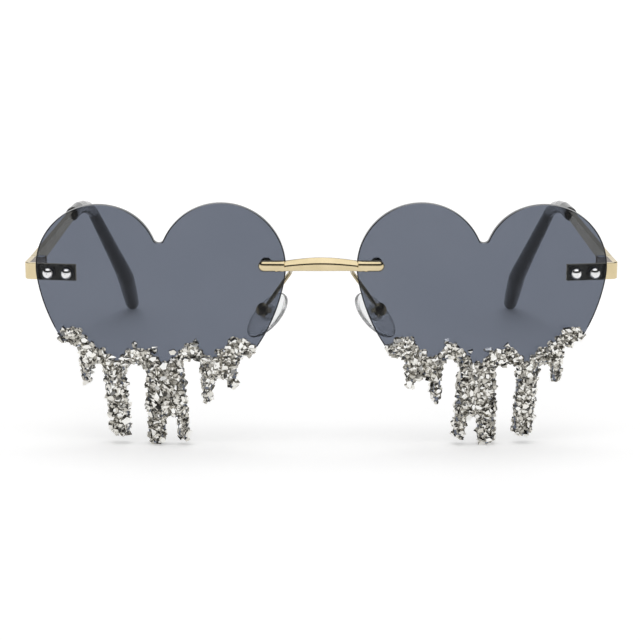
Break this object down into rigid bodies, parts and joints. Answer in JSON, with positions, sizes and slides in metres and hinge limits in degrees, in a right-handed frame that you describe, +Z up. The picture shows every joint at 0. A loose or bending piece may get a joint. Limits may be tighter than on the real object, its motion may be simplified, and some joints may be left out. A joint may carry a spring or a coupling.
{
  "type": "sunglasses",
  "caption": "Rimless heart-shaped sunglasses: tinted lenses that end in crystal-crusted drips, a gold bridge, folding temples with black tips and rocking nose pads.",
  "frame": {"origin": "centre of the bounding box's base, on the surface that the drips and the temple tips stand on", "axes": "+Z up, -Y the way the lenses face, +X to the wearer's left along the front"},
  "size_m": [0.1464, 0.1425, 0.0611],
  "materials": {
    "tinted_lens": "polished grey tinted polycarbonate",
    "crushed_mirror": "crushed silvered glass chips",
    "gold_metal": "polished pale gold plating",
    "steel": "polished screws and nuts",
    "clear_nylon": "clear nylon",
    "clear_core": "clear hard insert",
    "silicone": "clear soft silicone",
    "black_acetate": "polished black plastic"
  },
  "bodies": {
    "front": {"bridge": "gold_metal", "left_lens": "tinted_lens", "right_lens": "tinted_lens", "left_crystals": "crushed_mirror", "right_crystals": "crushed_mirror", "left_bridge_bush": "clear_nylon", "right_bridge_bush": "clear_nylon", "left_bridge_washer": "clear_nylon", "right_bridge_washer": "clear_nylon", "left_bridge_nut": "steel", "right_bridge_nut": "steel", "left_pad_arm": "gold_metal", "right_pad_arm": "gold_metal", "left_pad_screw": "steel", "right_pad_screw": "steel", "left_end_piece": "gold_metal", "right_end_piece": "gold_metal", "left_lens_screws": "steel", "right_lens_screws": "steel", "left_lens_bushes": "clear_nylon", "right_lens_bushes": "clear_nylon", "left_lens_washers": "clear_nylon", "right_lens_washers": "clear_nylon", "left_lens_nuts": "steel", "right_lens_nuts": "steel", "left_hinge_screw": "steel", "right_hinge_screw": "steel"},
    "left_temple": {"left_temple": "gold_metal", "left_temple_tip": "black_acetate"},
    "left_pad": {"left_nose_pad": "silicone", "left_pad_core": "clear_core"},
    "right_temple": {"right_temple": "gold_metal", "right_temple_tip": "black_acetate"},
    "right_pad": {"right_nose_pad": "silicone", "right_pad_core": "clear_core"}
  },
  "joints": [
    {"name": "left_fold", "type": "hinge", "parent": "front", "child": "left_temple", "pos_m": [0.0699, -0.05382, 0.04285], "axis": [0, 0, 1], "range_deg": [0, 84]},
    {"name": "right_fold", "type": "hinge", "parent": "front", "child": "right_temple", "pos_m": [-0.0699, -0.05382, 0.04285], "axis": [0, 0, -1], "range_deg": [0, 79.5]},
    {"name": "left_pad_rock", "type": "hinge", "parent": "front", "child": "left_pad", "pos_m": [0.0141, -0.06052, 0.0326], "axis": [-0.519, -0.723, -0.456], "range_deg": [-8, 8]},
    {"name": "right_pad_rock", "type": "hinge", "parent": "front", "child": "right_pad", "pos_m": [-0.0141, -0.06052, 0.0326], "axis": [0.519, -0.723, -0.456], "range_deg": [-8, 8]}
  ]
}
